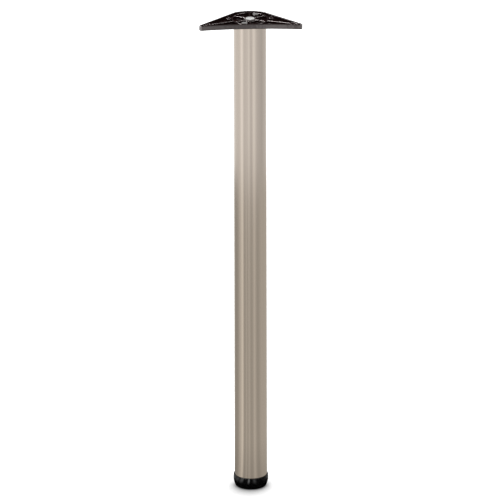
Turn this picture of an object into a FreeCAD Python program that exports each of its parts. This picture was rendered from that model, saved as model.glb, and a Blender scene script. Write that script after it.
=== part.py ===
import FreeCAD, Part
import Sketcher
import math
import os
import re

# Height adjustable table leg: a straight steel tube, a ribbed corner plate on top and a screw foot below.
# Millimetres. The origin is on the tube's axis at the floor, +Z is up, and the plate's long edge faces -Y.

doc = FreeCAD.newDocument("table_leg")
sheet = doc.addObject("Spreadsheet::Sheet", "sizes")

SIZES = [
    # the whole leg, with its foot screwed right in
    ("total_height", "915"),
    ("tube_diameter", "60"),
    ("tube_wall", "1.2"),
    # corner plate: a right-angled die casting, open side up
    ("plate_height", "9"),
    ("plate_rim", "3"),
    ("plate_floor", "2.6"),
    ("plate_side_margin", "12.3"),
    ("plate_front_margin", "4.8"),
    ("plate_front_dip", "8.7"),
    ("plate_back_margin", "9.3"),
    ("plate_back_radius", "65"),
    ("plate_tip_radius", "4.7"),
    ("plate_shoulder_radius", "3"),
    ("plate_tray_radius", "2"),
    ("plate_edge_radius", "0.8"),
    ("hub_wall", "2.7"),
    ("hub_drop", "2"),
    ("rib_thickness", "2.2"),
    ("rib_drop", "0.8"),
    ("ring_margin", "2.5"),
    ("spoke_angle", "30"),
    ("spoke_count", "6"),
    ("spigot_depth", "6"),
    ("spigot_wall", "2.5"),
    ("spigot_clearance", "0.3"),
    # wood screw holes, countersunk from below
    ("tip_hole_inset", "26.9"),
    ("tip_hole_setback", "14.8"),
    ("flank_hole_margin", "8.5"),
    ("flank_hole_back", "4"),
    ("boss_radius", "5.5"),
    # two solid pads beside the bolt, machined on top, that bear on the table
    ("bearing_pad_radius", "5.8"),
    ("bearing_pad_margin", "4"),
    ("bearing_pad_angle", "65"),
    ("screw_hole_diameter", "5.2"),
    ("screw_head_diameter", "9.6"),
    # bolt that the leg screws onto, with its locking washer
    ("bolt_diameter", "10"),
    ("bolt_length", "30"),
    ("hexagon_width", "16"),
    ("head_height", "6.4"),
    ("head_proud", "1.6"),
    ("nut_height", "8"),
    ("washer_height", "2.2"),
    ("washer_radius", "8.9"),
    ("washer_split", "1.2"),
    ("thread_clearance", "0.05"),
    ("shank_clearance", "0.3"),
    ("pocket_clearance", "0.1"),
    ("end_chamfer", "1.2"),
    # steel cup welded into the top of the tube
    ("top_plug_floor", "2.5"),
    ("top_plug_skirt", "14"),
    ("top_plug_wall", "2"),
    ("plug_clearance", "0.05"),
    # plastic plug pressed into the lower end of the tube
    ("flange_height", "1.7"),
    ("flange_inset", "0.3"),
    ("bottom_plug_length", "26"),
    ("bottom_plug_wall", "2.5"),
    ("web_height", "4"),
    ("plug_boss_wall", "3.2"),
    ("plug_rib_thickness", "2"),
    ("plug_rib_height", "18"),
    ("plug_rib_count", "6"),
    # foot: cup, stud and pad
    ("foot_height", "23"),
    ("foot_margin", "2"),
    ("foot_belly_height", "17"),
    ("foot_curve_radius", "34"),
    ("foot_running_gap", "0.4"),
    ("foot_ledge_height", "13"),
    ("foot_ledge_width", "3.4"),
    ("foot_trough_inset", "0.6"),
    ("foot_floor_height", "5.4"),
    ("foot_boss_wall", "3.2"),
    ("foot_rib_thickness", "2"),
    ("foot_rib_count", "6"),
    ("foot_lip_radius", "0.4"),
    ("foot_sole_edge_radius", "2.6"),
    ("foot_stop_gap", "0.3"),
    ("stud_length", "60"),
    ("pad_margin", "3.6"),
    ("pad_thickness", "3"),
    ("pad_proud", "1"),
    ("pad_clearance", "0.3"),
    ("pad_edge", "0.4"),
]
for row, (alias, value) in enumerate(SIZES, start=1):
    cell = "B%d" % row
    sheet.set("A%d" % row, alias)
    sheet.set(cell, value)
    sheet.setAlias(cell, alias)
doc.recompute()
NAMES = {alias for alias, value in SIZES}


def formula(text):
    """Turns plain size names in a formula into references to the sheet."""
    return re.sub("[a-z_]+", lambda word: "sizes." + word[0] if word[0] in NAMES else word[0], text)


def value_of(text):
    """Number that a formula of size names gives now."""
    result = sheet.evalExpression(formula(text))
    return float(getattr(result, "Value", result))


def make_body(label, lift):
    """New body, raised along the leg's axis by a formula."""
    body = doc.addObject("PartDesign::Body", label)
    body.Label = label
    body.setExpression(".Placement.Base.z", formula(lift))
    return body


def origin_plane(body, role):
    for feature in body.Origin.OriginFeatures:
        if feature.Role == role:
            return feature
    raise RuntimeError("no plane " + role)


def make_sketch(body, name, role="XY_Plane", lift="0", turn=None):
    """Sketch on an origin plane, moved along its normal and turned about it by formulas."""
    sketch = body.newObject("Sketcher::SketchObject", name)
    sketch.AttachmentSupport = [(origin_plane(body, role), "")]
    sketch.MapMode = "FlatFace"
    if lift != "0":
        sketch.setExpression(".AttachmentOffset.Base.z", formula(lift))
    if turn is not None:
        sketch.AttachmentOffset = FreeCAD.Placement(
            FreeCAD.Vector(0, 0, value_of(lift)), FreeCAD.Rotation(FreeCAD.Vector(0, 0, 1), value_of(turn))
        )
        sketch.setExpression(".AttachmentOffset.Rotation.Angle", formula(turn))
    return sketch


def bind(sketch, constraint, name, text):
    """Adds a constraint and ties its value to a formula."""
    index = sketch.addConstraint(constraint)
    sketch.renameConstraint(index, name)
    sketch.setExpression("Constraints." + name, formula(text))


def arc_between(start, end, radius, side):
    """Minor arc from start to end with its centre to the left (side 1) or right (side -1) of the way."""
    chord = end - start
    middle = (start + end) * 0.5
    normal = FreeCAD.Vector(-chord.y, chord.x, 0).normalize()
    centre = middle + normal * (side * math.sqrt(radius**2 - (chord.Length / 2) ** 2))
    first = math.atan2(start.y - centre.y, start.x - centre.x)
    last = math.atan2(end.y - centre.y, end.x - centre.x)
    if side < 0:
        first, last = last, first
    circle = Part.Circle(centre, FreeCAD.Vector(0, 0, 1), radius)
    return Part.ArcOfCircle(circle, first, last)


def draw_outline(sketch, corners):
    """Closed outline. A corner is (x, y), or (x, y, radius, side) where an arc leaves it, all as formulas."""
    points = [FreeCAD.Vector(value_of(corner[0]), value_of(corner[1]), 0) for corner in corners]
    count = len(corners)
    ends = []
    for index, corner in enumerate(corners):
        start = points[index]
        end = points[(index + 1) % count]
        if len(corner) == 2:
            edge = sketch.addGeometry(Part.LineSegment(start, end))
            ends.append((edge, 1, 2))
        else:
            radius, side = corner[2], corner[3]
            edge = sketch.addGeometry(arc_between(start, end, value_of(radius), side))
            ends.append((edge, 1, 2) if side > 0 else (edge, 2, 1))
            bind(sketch, Sketcher.Constraint("Radius", edge, value_of(radius)), "radius_%d" % index, radius)
    for index, corner in enumerate(corners):
        edge, first, last = ends[index]
        following = ends[(index + 1) % count]
        sketch.addConstraint(Sketcher.Constraint("Coincident", edge, last, following[0], following[1]))
        for axis, text, number in (("X", corner[0], points[index].x), ("Y", corner[1], points[index].y)):
            constraint = Sketcher.Constraint("Distance" + axis, -1, 1, edge, first, number)
            bind(sketch, constraint, "%s_%d" % (axis.lower(), index), text)


def draw_rectangle(sketch, left, bottom, right, top):
    draw_outline(sketch, [(left, bottom), (right, bottom), (right, top), (left, top)])


def draw_circle(sketch, x, y, radius):
    """Circle with its centre and radius given by formulas."""
    centre = FreeCAD.Vector(value_of(x), value_of(y), 0)
    circle = sketch.addGeometry(Part.Circle(centre, FreeCAD.Vector(0, 0, 1), value_of(radius)))
    bind(sketch, Sketcher.Constraint("Radius", circle, value_of(radius)), "radius_%d" % circle, radius)
    for axis, text, number in (("X", x, centre.x), ("Y", y, centre.y)):
        if text == "0":
            held = -2 if axis == "X" else -1
            sketch.addConstraint(Sketcher.Constraint("PointOnObject", circle, 3, held))
        else:
            constraint = Sketcher.Constraint("Distance" + axis, -1, 1, circle, 3, number)
            bind(sketch, constraint, "%s_%d" % (axis.lower(), circle), text)


def draw_hexagon(sketch, width):
    """Hexagon of the given width across its flats, centred on the origin, with two corners along Y."""
    corner_radius = "(%s) / sqrt(3)" % width
    corners = []
    for angle in range(30, 390, 60):
        corners.append(("%s * cos(%d)" % (corner_radius, angle), "%s * sin(%d)" % (corner_radius, angle)))
    draw_outline(sketch, corners)


def pad(body, sketch, length):
    feature = body.newObject("PartDesign::Pad", sketch.Name + "_pad")
    feature.Profile = sketch
    feature.setExpression("Length", formula(length))
    sketch.Visibility = False
    doc.recompute()
    return feature


def pocket(body, sketch, depth, upwards=True):
    """Cut from the sketch's plane, upwards or downwards."""
    before = body.Shape.Volume
    feature = body.newObject("PartDesign::Pocket", sketch.Name + "_pocket")
    feature.Profile = sketch
    feature.Reversed = upwards
    feature.setExpression("Length", formula(depth))
    doc.recompute()
    if body.Shape.Volume > before - 0.01:
        raise RuntimeError("pocket cut nothing: " + sketch.Name)
    return feature


def revolve(body, sketch, kind="Revolution"):
    feature = body.newObject("PartDesign::" + kind, sketch.Name + "_turned")
    feature.Profile = sketch
    feature.ReferenceAxis = (sketch, ["V_Axis"])
    feature.Angle = 360
    doc.recompute()
    return feature


def polar_pattern(body, original, sketch, count):
    """Copies of a feature round the leg's axis."""
    feature = body.newObject("PartDesign::PolarPattern", original.Name + "_pattern")
    feature.Originals = [original]
    feature.Axis = (sketch, ["N_Axis"])
    feature.Angle = 360
    feature.setExpression("Occurrences", formula(count))
    body.Tip = feature
    doc.recompute()
    return feature


def mirror(body, originals, sketch, name):
    feature = body.newObject("PartDesign::Mirrored", name)
    feature.Originals = originals
    feature.MirrorPlane = (sketch, ["V_Axis"])
    body.Tip = feature
    doc.recompute()
    return feature


def edge_names(shape, wanted):
    return ["Edge%d" % (index + 1) for index, edge in enumerate(shape.Edges) if wanted(edge)]


def round_edges(body, wanted, radius, name, kind="Fillet"):
    """Rounds or bevels the edges of the body's last feature that the test picks."""
    base = body.Tip
    names = edge_names(base.Shape, wanted)
    if not names:
        raise RuntimeError("no edges for " + name)
    feature = body.newObject("PartDesign::" + kind, name)
    feature.Base = (base, names)
    feature.setExpression("Radius" if kind == "Fillet" else "Size", formula(radius))
    doc.recompute()
    return feature


def is_upright(edge):
    start, end = edge.Vertexes[0].Point, edge.Vertexes[-1].Point
    return math.hypot(end.x - start.x, end.y - start.y) < 1e-6 and abs(end.z - start.z) > 1e-3


def lies_at(edge, height):
    return all(abs(vertex.Point.z - height) < 1e-6 for vertex in edge.Vertexes)


# Sizes and places that more than one feature needs, as formulas
TUBE_RADIUS = "tube_diameter / 2"
TUBE_BORE = "(tube_diameter / 2 - tube_wall)"
HEXAGON_CORNER = "hexagon_width / sqrt(3)"
PLATE_SIDE = "(tube_diameter / 2 + plate_side_margin)"
PLATE_FRONT = "(tube_diameter / 2 + plate_front_margin + plate_front_dip)"
PLATE_BACK = "(tube_diameter / 2 + plate_back_margin)"
PLATE_TIP = "(%s * sqrt(2) + %s)" % (PLATE_SIDE, PLATE_FRONT)
PLATE_BOTTOM = "(total_height - plate_height)"
HUB_RADIUS = "(hexagon_width / sqrt(3) + hub_wall)"
RING_RADIUS = "(tube_diameter / 2 + ring_margin)"
TIP_HOLE_X = "(%s - tip_hole_inset)" % PLATE_TIP
TIP_HOLE_FORWARD = "(%s - tip_hole_setback)" % PLATE_FRONT
FLANK_HOLE_X = "(tube_diameter / 2 + flank_hole_margin)"
BEARING_PAD_REACH = "(tube_diameter / 2 - bearing_pad_margin)"
FOOT_RADIUS = "(tube_diameter / 2 + foot_margin)"
PLUG_BOSS = "(hexagon_width / sqrt(3) + plug_boss_wall)"
FOOT_BOSS = "(hexagon_width / sqrt(3) + foot_boss_wall)"
HUB_TOP = "(plate_height - hub_drop)"
BOLT_SEAT = "(plate_height - hub_drop + head_proud - head_height)"
TUBE_BOTTOM = "(foot_ledge_height + foot_stop_gap + flange_height)"
TOP_PLUG_TOP = "(total_height - plate_height - spigot_depth - washer_height)"
BOTTOM_PLUG_BOTTOM = "(foot_ledge_height + foot_stop_gap)"
NUT_SEAT = "(flange_height + bottom_plug_length - web_height - nut_height)"
PAD_TOP = "pad_thickness"
BOLT_RADIUS = "bolt_diameter / 2"


def plate_corners(inset):
    """Corners of the plate's outline, moved inwards: front arc, right side, rear arc, left side."""
    side = "((%s - %s) * sqrt(2))" % (PLATE_SIDE, inset)
    front_radius = "((%s ^ 2 + plate_front_dip ^ 2) / (2 * plate_front_dip))" % PLATE_TIP
    front_centre = "(plate_front_dip - %s - %s)" % (PLATE_FRONT, front_radius)
    front_radius = "(%s + %s)" % (front_radius, inset)
    back_radius = "(plate_back_radius - %s)" % inset
    back_centre = "(%s - plate_back_radius)" % PLATE_BACK
    corners = []
    for radius, centre in ((front_radius, front_centre), (back_radius, back_centre)):
        rise = "(%s - %s)" % (side, centre)
        x = "((%s - sqrt(2 * %s ^ 2 - %s ^ 2)) / 2)" % (rise, radius, rise)
        corners.append((x, "(%s - %s)" % (side, x)))
    (tip_x, tip_y), (back_x, back_y) = corners
    return [("-" + tip_x, tip_y, front_radius, -1), (tip_x, tip_y),
            (back_x, back_y, back_radius, 1), ("-" + back_x, back_y)]


def make_mounting_plate():
    """Die-cast corner plate: tray with a rim, hub, ring and spokes, arm ribs, screw bosses, spigot below."""
    body = make_body("mounting_plate", PLATE_BOTTOM)

    # Solid blank with rounded tips, shoulders and outer edges
    outline = make_sketch(body, "plate_outline")
    draw_outline(outline, plate_corners("0"))
    pad(body, outline, "plate_height")
    tip_line = -value_of(PLATE_FRONT) + 1e-3
    round_edges(body, lambda edge: is_upright(edge) and edge.Vertexes[0].Y < tip_line,
                "plate_tip_radius", "plate_tips")
    round_edges(body, lambda edge: is_upright(edge) and edge.Vertexes[0].Y > 0 and len(edge.Vertexes) == 2
                and abs(abs(edge.Vertexes[0].X) - value_of(plate_corners("0")[2][0])) < 1e-3,
                "plate_shoulder_radius", "plate_shoulders")
    top = value_of("plate_height")
    round_edges(body, lambda edge: lies_at(edge, 0) or lies_at(edge, top), "plate_edge_radius", "plate_edges")

    # Open tray, with its own rounded corners
    tray = make_sketch(body, "plate_tray", lift="plate_floor")
    draw_outline(tray, plate_corners("plate_rim"))
    pocket(body, tray, "plate_height")
    floor = value_of("plate_floor")
    tray_tip = [value_of(text) for text in plate_corners("plate_rim")[1][:2]]
    tray_shoulder = [value_of(text) for text in plate_corners("plate_rim")[2][:2]]
    round_edges(
        body,
        lambda edge: is_upright(edge) and max(vertex.Z for vertex in edge.Vertexes) > floor + 1
        and any(abs(abs(edge.Vertexes[0].X) - x) < 1e-3 and abs(edge.Vertexes[0].Y - y) < 1e-3
                for x, y in (tray_tip, tray_shoulder)),
        "plate_tray_radius", "tray_corners",
    )

    # Hub and the spigot that centres the plate in the tube
    hub = make_sketch(body, "hub", lift="-spigot_depth")
    draw_circle(hub, "0", "0", HUB_RADIUS)
    pad(body, hub, "spigot_depth + " + HUB_TOP)
    spigot = make_sketch(body, "spigot", lift="-spigot_depth")
    draw_circle(spigot, "0", "0", "%s - spigot_clearance" % TUBE_BORE)
    draw_circle(spigot, "0", "0", "%s - spigot_clearance - spigot_wall" % TUBE_BORE)
    pad(body, spigot, "spigot_depth + plate_floor / 2")

    # Ring rib and spokes
    rib_height = "plate_height - plate_floor / 2 - rib_drop"
    ring = make_sketch(body, "ring_rib", lift="plate_floor / 2")
    draw_circle(ring, "0", "0", RING_RADIUS + " + rib_thickness / 2")
    draw_circle(ring, "0", "0", RING_RADIUS + " - rib_thickness / 2")
    pad(body, ring, rib_height)
    spoke = make_sketch(body, "spoke", lift="plate_floor / 2", turn="spoke_angle")
    draw_rectangle(spoke, HUB_RADIUS + " - rib_thickness", "-rib_thickness / 2",
                   RING_RADIUS, "rib_thickness / 2")
    spoke_pad = pad(body, spoke, rib_height)
    polar_pattern(body, spoke_pad, spoke, "spoke_count")

    # Arm ribs from the ring out to the tips, through the tip bosses
    arm_angle = "-atan2(%s; %s)" % (TIP_HOLE_FORWARD, TIP_HOLE_X)
    arm = make_sketch(body, "arm_rib", lift="plate_floor / 2", turn=arm_angle)
    reach = "sqrt(%s ^ 2 + %s ^ 2)" % (TIP_HOLE_X, TIP_HOLE_FORWARD)
    draw_rectangle(arm, RING_RADIUS, "-rib_thickness / 2", reach + " + boss_radius * 2", "rib_thickness / 2")
    arm_pad = pad(body, arm, rib_height)
    bosses = make_sketch(body, "screw_bosses", lift="plate_floor / 2")
    draw_circle(bosses, TIP_HOLE_X, "-" + TIP_HOLE_FORWARD, "boss_radius")
    draw_circle(bosses, FLANK_HOLE_X, "flank_hole_back", "boss_radius")
    boss_pad = pad(body, bosses, rib_height)
    mirror(body, [arm_pad, boss_pad], outline, "left_arm")
    bearing_pads = make_sketch(body, "bearing_pads", lift="plate_floor / 2")
    for turn in ("bearing_pad_angle", "(bearing_pad_angle + 180)"):
        draw_circle(bearing_pads, "%s * cos(%s)" % (BEARING_PAD_REACH, turn),
                    "%s * sin(%s)" % (BEARING_PAD_REACH, turn), "bearing_pad_radius")
    pad(body, bearing_pads, rib_height)

    # Countersunk screw holes
    holes = make_sketch(body, "screw_holes")
    places = []
    for sign in ("", "-"):
        places.append((sign + TIP_HOLE_X, "-" + TIP_HOLE_FORWARD))
        places.append((sign + FLANK_HOLE_X, "flank_hole_back"))
    for x, y in places:
        draw_circle(holes, x, y, "screw_hole_diameter / 2")
    pocket(body, holes, "plate_height")
    hole_radius = value_of("screw_hole_diameter / 2")
    round_edges(
        body,
        lambda edge: lies_at(edge, 0) and abs(getattr(edge.Curve, "Radius", 0) - hole_radius) < 1e-6,
        "(screw_head_diameter - screw_hole_diameter) / 2", "countersinks", "Chamfer",
    )

    # Hexagon pocket for the bolt's head, and its hole
    head = make_sketch(body, "head_pocket", lift=HUB_TOP)
    draw_hexagon(head, "hexagon_width + 2 * pocket_clearance")
    pocket(body, head, "%s - %s" % (HUB_TOP, BOLT_SEAT), upwards=False)
    bore = make_sketch(body, "bolt_hole", lift=HUB_TOP)
    draw_circle(bore, "0", "0", BOLT_RADIUS + " + shank_clearance")
    pocket(body, bore, HUB_TOP + " + spigot_depth", upwards=False)
    return body


def make_hexagon_bolt(label, head_bottom, length, upside_down=False):
    """Hexagon head bolt. The shank runs down from the head, or up from it when it is upside down."""
    body = make_body(label, head_bottom)
    head = make_sketch(body, label + "_head")
    draw_hexagon(head, "hexagon_width")
    pad(body, head, "head_height")
    bevel = make_sketch(body, label + "_bevel", "XZ_Plane")
    way, face, seat = ("+", "0", "head_height") if upside_down else ("-", "head_height", "0")
    draw_outline(bevel, [
        (HEXAGON_CORNER + " - end_chamfer", face),
        (HEXAGON_CORNER + " + end_chamfer", face),
        (HEXAGON_CORNER + " + end_chamfer", "%s %s end_chamfer" % (face, way)),
    ])
    revolve(body, bevel, "Groove")
    shank = make_sketch(body, label + "_shank", "XZ_Plane")
    end = "%s %s %s" % (seat, way, length)
    draw_outline(shank, [
        ("0", "head_height / 2"),
        (BOLT_RADIUS, "head_height / 2"),
        (BOLT_RADIUS, "%s - (%s end_chamfer)" % (end, way)),
        (BOLT_RADIUS + " - end_chamfer", end),
        ("0", end),
    ])
    revolve(body, shank)
    return body


def make_hexagon_nut(label, bottom):
    """Hexagon nut with bevelled corners and a round thread bore."""
    body = make_body(label, bottom)
    hexagon = make_sketch(body, label + "_hexagon")
    draw_hexagon(hexagon, "hexagon_width")
    pad(body, hexagon, "nut_height")
    for name, face, sign in (("top", "nut_height", "-"), ("bottom", "0", "+")):
        bevel = make_sketch(body, "%s_%s_bevel" % (label, name), "XZ_Plane")
        draw_outline(bevel, [
            (HEXAGON_CORNER + " - end_chamfer", face),
            (HEXAGON_CORNER + " + end_chamfer", face),
            (HEXAGON_CORNER + " + end_chamfer", "%s %s end_chamfer / 2" % (face, sign)),
        ])
        revolve(body, bevel, "Groove")
    bore = make_sketch(body, label + "_bore")
    draw_circle(bore, "0", "0", BOLT_RADIUS + " + thread_clearance")
    pocket(body, bore, "nut_height")
    return body


def make_lock_washer():
    """Split spring washer between the plate's hub and the steel cup."""
    body = make_body("lock_washer", TOP_PLUG_TOP)
    ring = make_sketch(body, "washer_ring")
    draw_circle(ring, "0", "0", "washer_radius")
    draw_circle(ring, "0", "0", BOLT_RADIUS + " + shank_clearance")
    pad(body, ring, "washer_height")
    split = make_sketch(body, "washer_slot")
    draw_rectangle(split, "0", "-washer_split / 2", "washer_radius * 2", "washer_split / 2")
    pocket(body, split, "washer_height")
    return body


def make_top_plug():
    """Deep-drawn steel cup, skirt down, welded into the top of the tube."""
    body = make_body("top_plug", TOP_PLUG_TOP)
    section = make_sketch(body, "top_plug_section", "XZ_Plane")
    outer = "%s - plug_clearance" % TUBE_BORE
    draw_outline(section, [
        (BOLT_RADIUS + " + shank_clearance", "0"),
        (BOLT_RADIUS + " + shank_clearance", "-top_plug_floor"),
        (outer + " - top_plug_wall", "-top_plug_floor"),
        (outer + " - top_plug_wall", "-top_plug_skirt"),
        (outer, "-top_plug_skirt"),
        (outer, "0"),
    ])
    revolve(body, section)
    return body


def make_leg_tube():
    """Straight steel tube from the bottom plug's flange to the plate."""
    body = make_body("leg_tube", TUBE_BOTTOM)
    section = make_sketch(body, "tube_section", "XZ_Plane")
    draw_rectangle(section, TUBE_BORE, "0", TUBE_RADIUS, "%s - %s" % (PLATE_BOTTOM, TUBE_BOTTOM))
    revolve(body, section)
    return body


def make_bottom_plug():
    """Moulded plug: flange under the tube's end, sleeve inside it, web, boss with a nut pocket, and ribs."""
    body = make_body("bottom_plug", BOTTOM_PLUG_BOTTOM)
    section = make_sketch(body, "bottom_plug_section", "XZ_Plane")
    hole = BOLT_RADIUS + " + shank_clearance"
    outer = "%s - plug_clearance" % TUBE_BORE
    top = "flange_height + bottom_plug_length"
    boss_top = top + " - web_height"
    draw_outline(section, [
        (hole, "0"),
        (TUBE_RADIUS + " - flange_inset", "0"),
        (TUBE_RADIUS + " - flange_inset", "flange_height"),
        (outer, "flange_height"),
        (outer, top),
        (outer + " - bottom_plug_wall", top),
        (outer + " - bottom_plug_wall", "web_height"),
        (PLUG_BOSS, "web_height"),
        (PLUG_BOSS, boss_top),
        (hole, boss_top),
    ])
    revolve(body, section)
    rib = make_sketch(body, "plug_rib", lift="web_height / 2")
    draw_rectangle(rib, PLUG_BOSS + " - plug_rib_thickness / 2", "-plug_rib_thickness / 2",
                   outer + " - bottom_plug_wall / 2", "plug_rib_thickness / 2")
    rib_pad = pad(body, rib, "plug_rib_height - web_height / 2")
    polar_pattern(body, rib_pad, rib, "plug_rib_count")
    nut = make_sketch(body, "nut_pocket", lift=boss_top)
    draw_hexagon(nut, "hexagon_width + 2 * pocket_clearance")
    pocket(body, nut, "nut_height", upwards=False)
    return body


def foot_profile(height):
    """Radius of the cup's curved outside at a height."""
    drop = "(%s - foot_belly_height)" % height
    return "(%s - foot_curve_radius + sqrt(foot_curve_radius ^ 2 - %s ^ 2))" % (FOOT_RADIUS, drop)


PAD_RADIUS = "(%s - pad_margin)" % foot_profile("pad_proud")


def make_foot_cap():
    """Moulded cup: thin skirt round the tube's end, one curved outside down to the sole, cored out inside."""
    body = make_body("foot_cap", "0")
    section = make_sketch(body, "foot_section", "XZ_Plane")
    skirt_bore = TUBE_RADIUS + " + foot_running_gap"
    trough = skirt_bore + " - foot_ledge_width"
    draw_outline(section, [
        (BOLT_RADIUS + " + thread_clearance", PAD_TOP),
        (PAD_RADIUS + " + pad_clearance", PAD_TOP),
        (PAD_RADIUS + " + pad_clearance", "pad_proud"),
        (foot_profile("pad_proud"), "pad_proud", "foot_curve_radius", 1),
        (foot_profile("foot_height"), "foot_height"),
        (skirt_bore, "foot_height"),
        (skirt_bore, "foot_ledge_height"),
        (trough, "foot_ledge_height"),
        (trough + " - foot_trough_inset", "foot_floor_height"),
        (FOOT_BOSS, "foot_floor_height"),
        (FOOT_BOSS, "foot_ledge_height"),
        (BOLT_RADIUS + " + thread_clearance", "foot_ledge_height"),
    ])
    revolve(body, section)
    for height, radius, name in (("foot_height", "foot_lip_radius", "foot_lip"),
                                 ("pad_proud", "foot_sole_edge_radius", "foot_sole_edge")):
        level, reach = value_of(height), value_of(foot_profile(height)) - 1e-3
        round_edges(body, lambda edge: lies_at(edge, level) and edge.BoundBox.XMax > reach, radius, name)
    rib = make_sketch(body, "foot_rib", lift="foot_floor_height / 2 + pad_thickness / 2")
    draw_rectangle(rib, FOOT_BOSS + " - foot_rib_thickness / 2", "-foot_rib_thickness / 2",
                   trough, "foot_rib_thickness / 2")
    rib_pad = pad(body, rib, "foot_ledge_height - foot_floor_height / 2 - pad_thickness / 2")
    polar_pattern(body, rib_pad, rib, "foot_rib_count")
    head = make_sketch(body, "stud_pocket", lift=PAD_TOP)
    draw_hexagon(head, "hexagon_width + 2 * pocket_clearance")
    pocket(body, head, "head_height")
    return body


def make_foot_pad():
    """Soft non-slip disc in the recess under the cup."""
    body = make_body("foot_pad", "0")
    disc = make_sketch(body, "pad_disc")
    draw_circle(disc, "0", "0", PAD_RADIUS)
    pad(body, disc, "pad_thickness")
    round_edges(body, lambda edge: lies_at(edge, 0), "pad_edge", "pad_bevel", "Chamfer")
    return body


pieces = [
    make_mounting_plate(),
    make_hexagon_bolt("plate_bolt", "%s + %s" % (PLATE_BOTTOM, BOLT_SEAT), "bolt_length"),
    make_lock_washer(),
    make_top_plug(),
    make_hexagon_nut("top_nut", "%s - top_plug_floor - nut_height" % TOP_PLUG_TOP),
    make_leg_tube(),
    make_bottom_plug(),
    make_hexagon_nut("foot_nut", "%s + %s" % (BOTTOM_PLUG_BOTTOM, NUT_SEAT)),
    make_hexagon_bolt("foot_stud", PAD_TOP, "stud_length", upside_down=True),
    make_foot_cap(),
    make_foot_pad(),
]
doc.recompute()

for item in doc.Objects:
    if "Invalid" in item.State or "Error" in item.State:
        raise RuntimeError("%s failed: %s" % (item.Label, item.State))
for piece in pieces:
    if piece.Shape.isNull() or not piece.Shape.isValid() or len(piece.Shape.Solids) != 1:
        raise RuntimeError("bad shape: " + piece.Label)

os.makedirs("parts", exist_ok=True)
for piece in pieces:
    piece.Shape.exportStep("parts/%s.step" % piece.Label)
    box = piece.Shape.BoundBox
    print("%-15s volume %10.1f  z %8.2f to %8.2f" % (piece.Label, piece.Shape.Volume, box.ZMin, box.ZMax))
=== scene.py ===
import math
import bpy
import numpy as np
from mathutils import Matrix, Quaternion, Vector


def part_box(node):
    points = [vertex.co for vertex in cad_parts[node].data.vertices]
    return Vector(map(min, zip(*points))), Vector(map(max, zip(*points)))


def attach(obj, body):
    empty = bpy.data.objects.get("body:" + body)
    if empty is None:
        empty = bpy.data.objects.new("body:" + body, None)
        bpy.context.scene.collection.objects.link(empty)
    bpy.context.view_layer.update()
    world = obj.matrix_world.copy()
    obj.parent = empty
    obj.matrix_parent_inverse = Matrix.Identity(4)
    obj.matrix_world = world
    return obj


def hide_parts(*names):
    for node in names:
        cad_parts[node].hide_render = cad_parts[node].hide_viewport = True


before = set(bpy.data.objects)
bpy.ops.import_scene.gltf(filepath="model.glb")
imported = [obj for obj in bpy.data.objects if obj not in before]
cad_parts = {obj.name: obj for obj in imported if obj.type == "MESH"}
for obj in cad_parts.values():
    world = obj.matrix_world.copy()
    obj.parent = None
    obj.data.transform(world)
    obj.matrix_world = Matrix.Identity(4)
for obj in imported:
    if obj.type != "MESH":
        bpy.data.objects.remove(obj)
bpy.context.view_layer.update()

scene = bpy.context.scene


# Leg tube
# A straight 60 mm steel tube with a satin nickel plating: a warm grey metal, rubbed lengthwise with a fine
# abrasive, so that it mirrors the room softly in long upright bands.
TUBE_COLOUR = (0.66, 0.58, 0.505)
TUBE_ROUGHNESS = (0.12, 0.18)
RUBBING_ACROSS = 2600.0
RUBBING_ALONG = 30.0
RUBBING_DETAIL = 3.0
RUBBING_SHADE = 0.03
RUBBING_RELIEF = (0.5, 0.000004)


def start_material(name):
    """New node material, and add(kind, settings, inputs), which adds a node to it."""
    material = bpy.data.materials.new(name)
    material.use_nodes = True
    material.node_tree.nodes.clear()
    return material, node_adder(material.node_tree)


def node_adder(tree):
    """Gives add(kind, settings, inputs). An input is a number, a colour or another node's output socket."""
    def add(kind, settings=None, inputs=None):
        node = tree.nodes.new(kind)
        for key, value in (settings or {}).items():
            setattr(node, key, value)
        for key, value in (inputs or {}).items():
            socket = pick_input(node, key)
            if isinstance(value, bpy.types.NodeSocket):
                tree.links.new(value, socket)
            else:
                socket.default_value = value
        return node
    return add


def pick_input(node, key):
    """The input of that number, or the enabled one of that name: a mix node has one to each kind of value."""
    if isinstance(key, int):
        return node.inputs[key]
    return next(socket for socket in node.inputs if socket.name == key and socket.enabled)


def mix_result(node):
    """The enabled output of a mix node."""
    return next(socket for socket in node.outputs if socket.enabled)


def uneven(add, noise, colour, change):
    """Colour that noise makes a little darker and lighter."""
    dark = tuple(channel * (1 - change) for channel in colour) + (1,)
    light = tuple(min(channel * (1 + change), 1) for channel in colour) + (1,)
    return mix_result(add("ShaderNodeMix", {"data_type": "RGBA"}, {"Factor": noise, "A": dark, "B": light}))


def spread(add, noise, ends):
    """Noise stretched to run between two values."""
    return add("ShaderNodeMapRange", inputs={"Value": noise, "To Min": ends[0], "To Max": ends[1]}).outputs[0]


def bumps(add, noise, relief, surface=None):
    """Normals of a surface on which noise stands up. Relief is its strength and its depth in metres."""
    inputs = {"Height": noise, "Strength": relief[0], "Distance": relief[1]}
    if surface:
        inputs["Normal"] = surface
    return add("ShaderNodeBump", inputs=inputs).outputs[0]


def finish_with(add, look):
    """Ends a material with one shader of that look."""
    shader = add("ShaderNodeBsdfPrincipled", inputs=look)
    add("ShaderNodeOutputMaterial", inputs={"Surface": shader.outputs[0]})


def dress(node, material):
    """Gives a solid of the frame its finish."""
    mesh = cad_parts[node].data
    mesh.materials.clear()
    mesh.materials.append(material)


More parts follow.
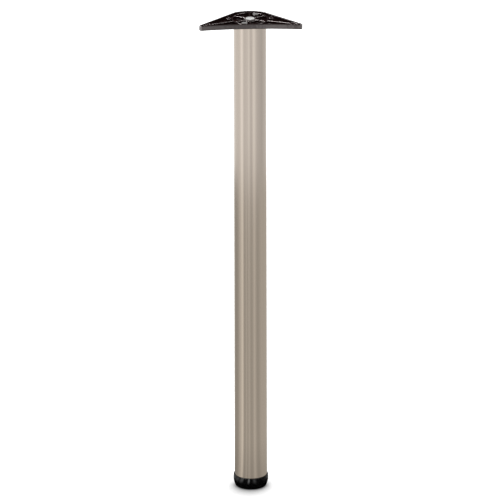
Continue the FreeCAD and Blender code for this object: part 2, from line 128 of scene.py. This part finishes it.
satin_nickel, add = start_material("satin_nickel")
place = add("ShaderNodeTexCoord").outputs["Object"]
stretch = add("ShaderNodeMapping", inputs={
    "Vector": place, "Scale": (RUBBING_ACROSS, RUBBING_ACROSS, RUBBING_ALONG)})
rubbing = add("ShaderNodeTexNoise", inputs={
    "Vector": stretch.outputs[0], "Scale": 1.0, "Detail": RUBBING_DETAIL}).outputs["Fac"]
finish_with(add, {
    "Base Color": uneven(add, rubbing, TUBE_COLOUR, RUBBING_SHADE), "Metallic": 1.0,
    "Roughness": spread(add, rubbing, TUBE_ROUGHNESS), "Normal": bumps(add, rubbing, RUBBING_RELIEF)})
dress("leg_tube", satin_nickel)


# Corner plate
# A die casting with a thick glossy black enamel, a little wavy where it has run over the ribs and edges.
# Two thin discs of bare zinc beside the bolt are painted highlights: lighter patches that stand in for
# glints.
ENAMEL_COLOUR = (0.0135, 0.006, 0.006)
ENAMEL_TINT = (1.0, 0.93, 0.92, 1.0)
ENAMEL_UNEVENNESS = 0.3
ENAMEL_WAVES = 170.0
WAVE_DETAIL = 2.0
WAVE_RELIEF = (1.0, 0.0003)
EDGE_BUILD_UP = 0.001
EDGE_SAMPLES = 6
plate_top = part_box("mounting_plate")[1][2]
black_enamel, add = start_material("black_enamel")
place = add("ShaderNodeTexCoord").outputs["Object"]
waves = add("ShaderNodeTexNoise", inputs={
    "Vector": place, "Scale": ENAMEL_WAVES, "Detail": WAVE_DETAIL}).outputs["Fac"]
soft_edges = add("ShaderNodeBevel", {"samples": EDGE_SAMPLES}, {"Radius": EDGE_BUILD_UP}).outputs[0]

# The refractive index is partly painted light and was chosen for the look. It is high on the rounded edges
# near the plate's top, a painted highlight that strengthens their real gleams of the lamps, and low on level
# faces, a painted shade that makes them reflect less. How level a face is comes from its normal's height:
# these edges begin at EDGE_FOOT and end at EDGE_TOP.
UPRIGHT_INDEX = 1.6
LEVEL_INDEX = 1.3
HIGHLIGHT_INDEX = 12.0
HIGHLIGHT_REACH = 0.003
HIGHLIGHT_FADE = 0.001
EDGE_FOOT = (0.35, 0.50)
EDGE_TOP = (0.88, 0.98)
highlight_starts = plate_top - HIGHLIGHT_REACH
slope = add("ShaderNodeSeparateXYZ", inputs={"Vector": soft_edges}).outputs["Z"]
edge_foot = add("ShaderNodeMapRange", inputs={
    "Value": slope, "From Min": EDGE_FOOT[0], "From Max": EDGE_FOOT[1]})
edge = add("ShaderNodeMapRange", inputs={
    "Value": slope, "From Min": EDGE_TOP[0], "From Max": EDGE_TOP[1],
    "To Min": edge_foot.outputs[0], "To Max": 0.0})
height = add("ShaderNodeSeparateXYZ", inputs={"Vector": place}).outputs["Z"]
painted_highlight_edge = add("ShaderNodeMapRange", inputs={
    "Value": height, "From Min": highlight_starts, "From Max": highlight_starts + HIGHLIGHT_FADE, "To Max": edge.outputs[0]})
face_index = add("ShaderNodeMapRange", inputs={
    "Value": slope, "From Min": EDGE_TOP[0], "From Max": EDGE_TOP[1],
    "To Min": UPRIGHT_INDEX, "To Max": LEVEL_INDEX})
index = add("ShaderNodeMapRange", inputs={
    "Value": painted_highlight_edge.outputs[0], "To Min": face_index.outputs[0], "To Max": HIGHLIGHT_INDEX})
finish_with(add, {
    "Base Color": uneven(add, waves, ENAMEL_COLOUR, ENAMEL_UNEVENNESS), "Roughness": 0.0,
    "IOR": index.outputs[0], "Specular Tint": ENAMEL_TINT,
    "Normal": bumps(add, waves, WAVE_RELIEF, soft_edges)})
dress("mounting_plate", black_enamel)


def grained_finish(name, colour, change, grain, detail, roughness, relief=None, metal=0.0):
    """Material that a fine grain makes uneven. Grain is in waves to a metre, and change is a share."""
    material, add = start_material(name)
    place = add("ShaderNodeTexCoord").outputs["Object"]
    noise = add("ShaderNodeTexNoise", inputs={
        "Vector": place, "Scale": grain, "Detail": detail}).outputs["Fac"]
    look = {"Base Color": uneven(add, noise, colour, change), "Metallic": metal,
            "Roughness": spread(add, noise, roughness)}
    if relief:
        look["Normal"] = bumps(add, noise, relief)
    finish_with(add, look)
    return material


bright_zinc = grained_finish(
    "bright_zinc", colour=(0.74, 0.74, 0.73), change=0.08, grain=350.0, detail=5.0,
    roughness=(0.2, 0.36), relief=(0.4, 0.00003), metal=1.0)
# Zinc for the two discs beside the bolt, which are painted highlights on the enamel
glint_zinc = grained_finish(
    "glint_zinc", colour=(0.26, 0.255, 0.25), change=0.25, grain=800.0, detail=3.0,
    roughness=(0.25, 0.45), metal=1.0)

SHARP_ANGLE = math.radians(32)
TURNED_STEPS = 96


def turned_piece(name, radii, heights, centre, material):
    """Closed solid of level rings about an upright line, with a flat or pointed end at the first and last.

    Point k of ring i lies at the angle a = 2 pi k / n: centre + (r_ik cos a, r_ik sin a, z_i). The radii
    are a grid, one row to a ring from the bottom up, so that a ring need not be round.
    """
    rings, steps = radii.shape
    angles = np.arange(steps) * 2 * math.pi / steps
    levels = np.repeat(heights[:, None], steps, axis=1)
    around = np.stack([radii * np.cos(angles), radii * np.sin(angles), levels], axis=-1).reshape(-1, 3)
    ends = np.array([[0, 0, heights[0]], [0, 0, heights[-1]]])
    points = np.vstack([around, ends]) + np.array(centre)
    index = np.arange(rings * steps).reshape(rings, steps)
    beside = np.roll(index, -1, axis=1)
    walls = np.stack([index[:-1], beside[:-1], beside[1:], index[1:]], axis=-1).reshape(-1, 4)
    first_end = np.full(steps, rings * steps)
    bottom_fan = np.stack([first_end, beside[0], index[0]], axis=-1)
    top_fan = np.stack([first_end + 1, index[-1], beside[-1]], axis=-1)
    mesh = bpy.data.meshes.new(name)
    mesh.from_pydata(points.tolist(), [], walls.tolist() + bottom_fan.tolist() + top_fan.tolist())
    mesh.materials.append(material)
    mesh.shade_smooth()
    mesh.set_sharp_from_angle(angle=SHARP_ANGLE)
    piece = bpy.data.objects.new(name, mesh)
    scene.collection.objects.link(piece)
    return piece


# Two thin zinc discs lie just under the plate's top on either side of the bolt, as painted highlights
GLINT_REACH = 0.026
GLINT_ANGLE = math.radians(65)
GLINT_RADIUS = 0.0054
GLINT_THICKNESS = 0.00012
RIB_DROP = 0.0008
outline = GLINT_RADIUS - GLINT_THICKNESS * np.array([0, 0, 1])
levels = GLINT_THICKNESS * np.array([0, 0.5, 1])
rings = np.repeat(outline[:, None], TURNED_STEPS, axis=1)
for number, turn in enumerate((GLINT_ANGLE, GLINT_ANGLE + math.pi), start=1):
    centre = (GLINT_REACH * math.cos(turn), GLINT_REACH * math.sin(turn), plate_top - RIB_DROP)
    glint_disc = turned_piece("glint_face_%d" % number, rings, levels, centre, glint_zinc)
    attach(glint_disc, "leg")


# Plate bolt, spring washer, steel cup and weld nut
# An M10 hexagon bolt sits in the plate's hexagon pocket. Its thread passes a spring washer and the steel cup
# welded into the tube, and bites in the nut under the cup. All are bright zinc plated.
HEXAGON_WIDTH = 0.016
HEAD_HEIGHT = 0.0064
HEAD_BEVEL = 0.0012
SCREW_RADIUS = 0.005
HEAD_DISH = 0.0005
BEVEL_STEPS = 9
DISH_STEPS = 12
TIP_BEVEL = 0.0012
THREAD_PITCH = 0.0015
THREAD_DEPTH = 0.00085
ROWS_PER_PITCH = 12


def screw_piece(name, node, head_on_top, thread_length):
    """Hexagon screw with a real thread, in the place of a plain one of the frame.

    Thread: r = R - d |2 frac(z / p - a / 2 pi) - 1|, a V of depth d that climbs one pitch p in a turn. It is
    also no more than a cone's radius at the tip, and fades out at its end. Head: r is the hexagon's
    (w / 2) / cos(a - nearest middle of a side), and no more than a cone's radius at its bevel. Its end face
    is a shallow dish, D (1 - (r / R)^2) deep.
    """
    low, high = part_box(node)
    total = high[2] - low[2]
    shank = total - HEAD_HEIGHT
    angles = np.arange(TURNED_STEPS) * 2 * math.pi / TURNED_STEPS
    rise = np.arange(0, shank, THREAD_PITCH / ROWS_PER_PITCH)
    turns = rise[:, None] / THREAD_PITCH - angles / (2 * math.pi)
    notch = THREAD_DEPTH * np.abs(2 * (turns - np.floor(turns)) - 1)
    fade = np.clip((thread_length - rise) / THREAD_PITCH, 0, 1)[:, None]
    tip = (SCREW_RADIUS - TIP_BEVEL + rise)[:, None]
    thread = np.minimum(SCREW_RADIUS - notch * fade, tip)
    from_side = np.mod(angles + math.pi / 6, math.pi / 3) - math.pi / 6
    hexagon = HEXAGON_WIDTH / 2 / np.cos(from_side)
    bevel = np.linspace(0, HEAD_BEVEL, BEVEL_STEPS)
    cone = np.minimum(hexagon, HEXAGON_WIDTH / math.sqrt(3) - bevel[:, None])
    inwards = np.linspace(1, 0, DISH_STEPS)[1:-1]
    hollow = cone[-1] * inwards[:, None]
    radii = np.vstack([thread, np.full_like(angles, SCREW_RADIUS), hexagon, cone, hollow])
    heights = np.concatenate([rise, [shank, shank], total - HEAD_BEVEL + bevel,
                              total - HEAD_DISH * (1 - inwards ** 2)])
    if not head_on_top:
        radii = np.roll(radii[::-1, ::-1], 1, axis=1)
        heights = total - heights[::-1]
    centre = ((low[0] + high[0]) / 2, (low[1] + high[1]) / 2, low[2])
    return turned_piece(name, radii, heights, centre, bright_zinc)


BOLT_THREAD = 0.026
bolt = screw_piece("hexagon_bolt", "plate_bolt", True, BOLT_THREAD)
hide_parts("plate_bolt")
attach(bolt, "leg")
for node in ("lock_washer", "top_plug", "top_nut", "foot_nut"):
    dress(node, bright_zinc)


# Bottom plug
# A black nylon moulding pressed into the tube's lower end. It holds the nut that the foot turns in.
black_nylon = grained_finish(
    "black_nylon", colour=(0.022, 0.022, 0.023), change=0.2, grain=1400.0, detail=3.0,
    roughness=(0.42, 0.6), relief=(0.6, 0.00003))
dress("bottom_plug", black_nylon)


# Foot
# A polished black cup is moulded round the head of a long zinc plated stud, whose 1.5 mm thread sets the
# leg's height. A soft rubber disc under the cup stays still on the floor while the cup is turned.
STUD_THREAD = 0.055
stud = screw_piece("threaded_stud", "foot_stud", False, STUD_THREAD)
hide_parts("foot_stud")
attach(stud, "foot")

CUP_COLOUR = (0.003, 0.003, 0.003)
CUP_UNEVENNESS = 0.3
CUP_INDEX = 1.6
CUP_FLOW = 45.0
FLOW_DETAIL = 2.0
FLOW_RELIEF = (0.5, 0.0002)
polished_black, add = start_material("polished_black")
place = add("ShaderNodeTexCoord").outputs["Object"]
flow = add("ShaderNodeTexNoise", inputs={
    "Vector": place, "Scale": CUP_FLOW, "Detail": FLOW_DETAIL}).outputs["Fac"]
finish_with(add, {
    "Base Color": uneven(add, flow, CUP_COLOUR, CUP_UNEVENNESS), "Roughness": 0.0, "IOR": CUP_INDEX,
    "Normal": bumps(add, flow, FLOW_RELIEF)})
dress("foot_cap", polished_black)

pad_rubber = grained_finish(
    "pad_rubber", colour=(0.02, 0.02, 0.02), change=0.25, grain=900.0, detail=4.0,
    roughness=(0.7, 0.9), relief=(0.8, 0.0001))
dress("foot_pad", pad_rubber)


# Studio
# A pale floor and an even, pale room. Mirror rays alone see bands of light in it, held in charts of how
# bright it is at a bearing, in degrees from straight ahead of the plate's long edge. Their levels were set
# against the photo's tones on the tube, the cup and the rim.
NEAR_CHART = [
    (-180, 0.60), (-150, 0.50), (-125, 0.37), (-100, 0.43), (-85, 0.58), (-72, 0.68), (-62, 0.90),
    (-55, 0.75), (-47, 0.42), (-38, 0.48), (-30, 0.60), (-22, 0.42), (-14, 0.62), (-7, 0.52), (4, 0.44),
    (14, 0.50), (24, 0.66), (32, 0.56), (42, 0.45), (52, 0.43), (64, 0.50), (80, 0.55), (140, 0.54),
    (180, 0.60),
]
FAR_CHART = [
    (-180, 1.00), (-135, 0.90), (-118, 0.84), (-95, 0.84), (-80, 0.86), (-66, 1.15), (-57, 1.08),
    (-48, 0.78), (-34, 0.80), (-18, 0.86), (-11, 1.02), (-3, 0.76), (8, 0.70), (17, 0.96), (25, 1.02),
    (34, 0.86), (46, 0.70), (60, 0.65), (85, 0.58), (105, 0.66), (130, 0.70), (155, 0.93), (180, 1.00),
]
NEAR_TINT = (1.0, 0.97, 0.90, 1.0)
CHART_TOP = 1.25
NEAR_ENDS = 1.59
FAR_STARTS = 1.72
FLOOR_HALF = 8.0
FLOOR_COLOUR = (0.8, 0.8, 0.8, 1.0)
NEAR_GLOW = 0.45
FAR_GLOW = 0.75
GLOW_RISES = 2.5
SHADOW_REACH = 0.045
SHADOW_SAMPLES = 16
# The floor that mirror rays see carries a painted shadow of the leg: dimmed from DIM_STARTS in to DIM_ENDS,
# down to DIMMEST
DIM_STARTS = 0.28
DIM_ENDS = 0.06
DIMMEST = 0.80

# The polished black cup and enamel have no roughness at all and see a darker room. The cup shows the floor
# near it, the plate's rim shows the floor far off, and the ribs' edges show lamps between two heights.
CUP_CHART = [
    (-180, 0.08), (-125, 0.20), (-112, 0.20), (-104, 0.11), (-98, 0.14), (-90, 0.24), (-80, 0.25),
    (-74, 0.12), (-68, 0.14), (-63, 0.28), (-57, 0.44), (-49, 0.38), (-45, 0.10), (-39, 0.01), (-24, 0.03),
    (-20, 0.12), (-16, 0.85), (-12, 1.05), (-9, 0.16), (-6, 0.01), (4, 0.01), (9, 0.10), (14, 0.26),
    (19, 0.30), (25, 0.15), (30, 0.02), (55, 0.005), (75, 0.03), (95, 0.06), (118, 0.18), (180, 0.08),
]
RIM_CHART = [
    (-180, 0.30), (-125, 0.15), (-85, 0.25), (-72, 1.25), (-18, 1.25), (-13.5, 0.25), (-12, 0.25),
    (-10.5, 0.30), (-9.5, 0.60), (-4, 0.58), (-1, 0.48), (2, 0.32), (8, 0.32), (12, 0.42), (19, 0.44),
    (24, 0.60), (95, 0.60), (110, 0.25), (180, 0.30),
]
LAMP_CHART = [
    (-180, 0.015), (-98, 0.015), (-92, 0.85), (-64, 0.85), (-58, 1.25), (-37, 1.25), (-33, 0.015),
    (36, 0.015), (41, 0.32), (90, 0.32), (96, 0.015), (180, 0.015),
]
CUP_LEVEL = 2.4
RIM_LEVEL = 4.0
LAMP_LEVEL = 5.0
SHARP_ROOM = 0.05
# GLEAMS_FADE and GLEAMS_FULL: a painted shadow, inside which the cup's mirrored gleams fade out
GLEAMS_FADE = 0.045
GLEAMS_FULL = 0.080
LAMPS_FOOT = 0.34
LAMPS_TOP = 0.86
LAMPS_FADE = 0.05


def chart_light(add, place, chart):
    """Brightness at the bearing of a point or direction, atan2(x, -y), read from a ramp made of the chart."""
    parts = add("ShaderNodeSeparateXYZ", inputs={"Vector": place})
    front = add("ShaderNodeMath", {"operation": "MULTIPLY"}, {0: parts.outputs["Y"], 1: -1.0})
    bearing = add("ShaderNodeMath", {"operation": "ARCTAN2"}, {0: parts.outputs["X"], 1: front.outputs[0]})
    turn = add("ShaderNodeMapRange", inputs={
        "Value": bearing.outputs[0], "From Min": -math.pi, "From Max": math.pi})
    ramp = add("ShaderNodeValToRGB", inputs={"Fac": turn.outputs[0]})
    elements = ramp.color_ramp.elements
    while len(elements) < len(chart):
        elements.new(1.0)
    for element, (angle, level) in zip(elements, chart):
        element.position = (angle + 180) / 360
        element.color = (level / CHART_TOP,) * 3 + (1,)
    return ramp.outputs["Color"]


pale_floor, add = start_material("pale_floor")
place = add("ShaderNodeTexCoord").outputs["Object"]
near_light = add("ShaderNodeMix", {"data_type": "RGBA", "blend_type": "MULTIPLY"}, {
    "Factor": 1.0, "A": chart_light(add, place, NEAR_CHART), "B": NEAR_TINT})
far_light = chart_light(add, place, FAR_CHART)
reach = add("ShaderNodeVectorMath", {"operation": "LENGTH"}, {0: place})
beyond = add("ShaderNodeMapRange", {"interpolation_type": "SMOOTHSTEP"}, {
    "Value": reach.outputs["Value"], "From Min": NEAR_ENDS, "From Max": FAR_STARTS})
room_light = add("ShaderNodeMix", {"data_type": "RGBA"}, {
    "Factor": beyond.outputs[0], "A": mix_result(near_light), "B": far_light})
rim_light = add("ShaderNodeVectorMath", {"operation": "SCALE"}, {
    0: chart_light(add, place, RIM_CHART), "Scale": RIM_LEVEL})
# Painted shadow: the floor gleams that the cup mirrors fade to nothing close round the leg, where its shadow
# falls
gleams = add("ShaderNodeMapRange", inputs={
    "Value": reach.outputs["Value"], "From Min": GLEAMS_FADE, "From Max": GLEAMS_FULL,
    "To Min": 0.0, "To Max": CUP_LEVEL})
cup_light = add("ShaderNodeVectorMath", {"operation": "SCALE"}, {
    0: chart_light(add, place, CUP_CHART), "Scale": gleams.outputs[0]})
sharp_light = add("ShaderNodeMix", {"data_type": "RGBA"}, {
    "Factor": beyond.outputs[0], "A": cup_light.outputs[0], "B": rim_light.outputs[0]})
rays = add("ShaderNodeLightPath")
seen_light = add("ShaderNodeMix", {"data_type": "RGBA"}, {
    "Factor": rays.outputs["Is Singular Ray"], "A": mix_result(room_light), "B": mix_result(sharp_light)})
# Painted shadow: the floor that mirror rays see is darker close to the leg, where the leg's shadow falls
leg_shadow_level = add("ShaderNodeMapRange", inputs={
    "Value": reach.outputs["Value"], "From Min": DIM_ENDS, "From Max": DIM_STARTS,
    "To Min": DIMMEST * CHART_TOP, "To Max": CHART_TOP})
mirrored = add("ShaderNodeEmission", inputs={"Color": mix_result(seen_light), "Strength": leg_shadow_level.outputs[0]})
lit = add("ShaderNodeBsdfDiffuse", inputs={"Color": FLOOR_COLOUR})
open_air = add("ShaderNodeAmbientOcclusion", {"samples": SHADOW_SAMPLES}, {"Distance": SHADOW_REACH})
glow_level = add("ShaderNodeMapRange", inputs={
    "Value": reach.outputs["Value"], "From Min": 0.0, "From Max": GLOW_RISES,
    "To Min": NEAR_GLOW, "To Max": FAR_GLOW})
glow = add("ShaderNodeEmission", inputs={"Color": (1, 1, 1, 1), "Strength": glow_level.outputs[0]})
bright = add("ShaderNodeAddShader", inputs={0: lit.outputs[0], 1: glow.outputs[0]})
in_shadow = add("ShaderNodeEmission", inputs={"Color": (0, 0, 0, 1), "Strength": 0.0})
shown = add("ShaderNodeMixShader", inputs={
    0: open_air.outputs["AO"], 1: in_shadow.outputs[0], 2: bright.outputs[0]})
plain = add("ShaderNodeMixShader", inputs={
    0: rays.outputs["Is Camera Ray"], 1: lit.outputs[0], 2: shown.outputs[0]})
whole = add("ShaderNodeMixShader", inputs={
    0: rays.outputs["Is Glossy Ray"], 1: plain.outputs[0], 2: mirrored.outputs[0]})
add("ShaderNodeOutputMaterial", inputs={"Surface": whole.outputs[0]})
floor_mesh = bpy.data.meshes.new("studio_floor")
floor_corners = [(-FLOOR_HALF, -FLOOR_HALF, 0), (FLOOR_HALF, -FLOOR_HALF, 0),
                 (FLOOR_HALF, FLOOR_HALF, 0), (-FLOOR_HALF, FLOOR_HALF, 0)]
floor_mesh.from_pydata(floor_corners, [], [(0, 1, 2, 3)])
floor_mesh.materials.append(pale_floor)
studio_floor = bpy.data.objects.new("studio_floor", floor_mesh)
scene.collection.objects.link(studio_floor)

# The leg stands on its pad, so the floor stays under the pad when the foot is screwed out
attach(studio_floor, "pad")

ROOM_FILL = 0.5
CEILING_STARTS = 0.42
CEILING_FADE = 0.2
CEILING_LEVEL = 0.45

# Ray Depth counts one more than the bounces, so the first mirror ray has 2. Later ones don't see the lamps
FIRST_MIRROR_RAY = 2.5
studio_air = bpy.data.worlds.new("studio_air")
studio_air.use_nodes = True
studio_air.node_tree.nodes.clear()
add = node_adder(studio_air.node_tree)
direction = add("ShaderNodeTexCoord").outputs["Generated"]
fill = add("ShaderNodeBackground", inputs={"Color": (1, 1, 1, 1), "Strength": ROOM_FILL})
white = add("ShaderNodeBackground", inputs={"Color": (1, 1, 1, 1), "Strength": 1.0})
rays = add("ShaderNodeLightPath")
height = add("ShaderNodeSeparateXYZ", inputs={"Vector": direction}).outputs["Z"]
wall_level = add("ShaderNodeMapRange", inputs={
    "Value": height, "From Min": CEILING_STARTS, "From Max": CEILING_STARTS + CEILING_FADE,
    "To Min": CHART_TOP, "To Max": CEILING_LEVEL * CHART_TOP})
walls = add("ShaderNodeBackground", inputs={
    "Color": chart_light(add, direction, FAR_CHART), "Strength": wall_level.outputs[0]})
above_foot = add("ShaderNodeMapRange", inputs={
    "Value": height, "From Min": LAMPS_FOOT, "From Max": LAMPS_FOOT + LAMPS_FADE,
    "To Min": 0.0, "To Max": LAMP_LEVEL})
below_top = add("ShaderNodeMapRange", inputs={
    "Value": height, "From Min": LAMPS_TOP, "From Max": LAMPS_TOP + LAMPS_FADE, "To Min": 1.0, "To Max": 0.0})
lamp_level = add("ShaderNodeMath", {"operation": "MULTIPLY"}, {
    0: above_foot.outputs[0], 1: below_top.outputs[0]})
seen_once = add("ShaderNodeMath", {"operation": "LESS_THAN"}, {
    0: rays.outputs["Ray Depth"], 1: FIRST_MIRROR_RAY})
lamps_once = add("ShaderNodeMath", {"operation": "MULTIPLY"}, {
    0: lamp_level.outputs[0], 1: seen_once.outputs[0]})
upright_lamps = add("ShaderNodeBackground", inputs={
    "Color": chart_light(add, direction, LAMP_CHART), "Strength": lamps_once.outputs[0]})
dark_room = add("ShaderNodeBackground", inputs={"Color": (1, 1, 1, 1), "Strength": SHARP_ROOM})
lamps_in_room = add("ShaderNodeAddShader", inputs={0: upright_lamps.outputs[0], 1: dark_room.outputs[0]})
walls_seen = add("ShaderNodeMixShader", inputs={
    0: rays.outputs["Is Singular Ray"], 1: walls.outputs[0], 2: lamps_in_room.outputs[0]})
plain = add("ShaderNodeMixShader", inputs={
    0: rays.outputs["Is Camera Ray"], 1: fill.outputs[0], 2: white.outputs[0]})
with_mirrors = add("ShaderNodeMixShader", inputs={
    0: rays.outputs["Is Glossy Ray"], 1: plain.outputs[0], 2: walls_seen.outputs[0]})
whole = add("ShaderNodeMixShader", inputs={
    0: rays.outputs["Is Transmission Ray"], 1: with_mirrors.outputs[0], 2: white.outputs[0]})
add("ShaderNodeOutputWorld", inputs={"Surface": whole.outputs[0]})
scene.world = studio_air

# A very large soft box hangs over and behind the leg, and a smaller, weak one fills from the front
SOFT_BOXES = [
    ("soft_box_over", (0.2, 1.3, 2.6), 2.4, 85.0),
    ("soft_box_front", (-0.8, -1.6, 2.4), 1.6, 8.0),
]
LIT_MIDDLE = Vector((0, 0, 0.3))
for name, middle, side, power in SOFT_BOXES:
    lamp = bpy.data.lights.new(name, "AREA")
    lamp.size = side
    lamp.energy = power
    soft_box = bpy.data.objects.new(name, lamp)
    soft_box.location = middle
    soft_box.rotation_mode = "QUATERNION"
    soft_box.rotation_quaternion = (LIT_MIDDLE - Vector(middle)).to_track_quat("-Z", "Y")
    soft_box.visible_glossy = False
    scene.collection.objects.link(soft_box)


# Camera
# It stands far off behind a very long lens, looks down by about 20 degrees from a little to the left of the
# plate's middle, and leans by a tenth of a degree. The leg nearly fills the height of the square picture.
PICTURE_SIDE = 500
PIXELS_PER_METRE = 544.7
AXIS_PIXEL = (250.45, 485.5)
LENS = 1500.0
SENSOR = 36.0
BEARING = math.radians(-2.4)
ELEVATION = math.radians(20.6)
LEAN = math.radians(0.11)
towards = Vector((math.sin(BEARING) * math.cos(ELEVATION), -math.cos(BEARING) * math.cos(ELEVATION),
                  math.sin(ELEVATION)))
to_right = Vector((math.cos(BEARING), math.sin(BEARING), 0))
half_side = PICTURE_SIDE / 2
aim = to_right * ((half_side - AXIS_PIXEL[0]) / PIXELS_PER_METRE)
aim += Vector((0, 0, (AXIS_PIXEL[1] - half_side) / PIXELS_PER_METRE / math.cos(ELEVATION)))
distance = PICTURE_SIDE / PIXELS_PER_METRE * LENS / SENSOR
camera = bpy.data.objects.new("camera", bpy.data.cameras.new("camera"))
camera.data.lens = LENS
camera.data.sensor_width = SENSOR
camera.data.clip_end = distance * 2
camera.location = aim + towards * distance
camera.rotation_mode = "QUATERNION"
camera.rotation_quaternion = Quaternion(towards, -LEAN) @ (-towards).to_track_quat("-Z", "Y")
scene.collection.objects.link(camera)
scene.camera = camera
scene.view_settings.view_transform = "Standard"
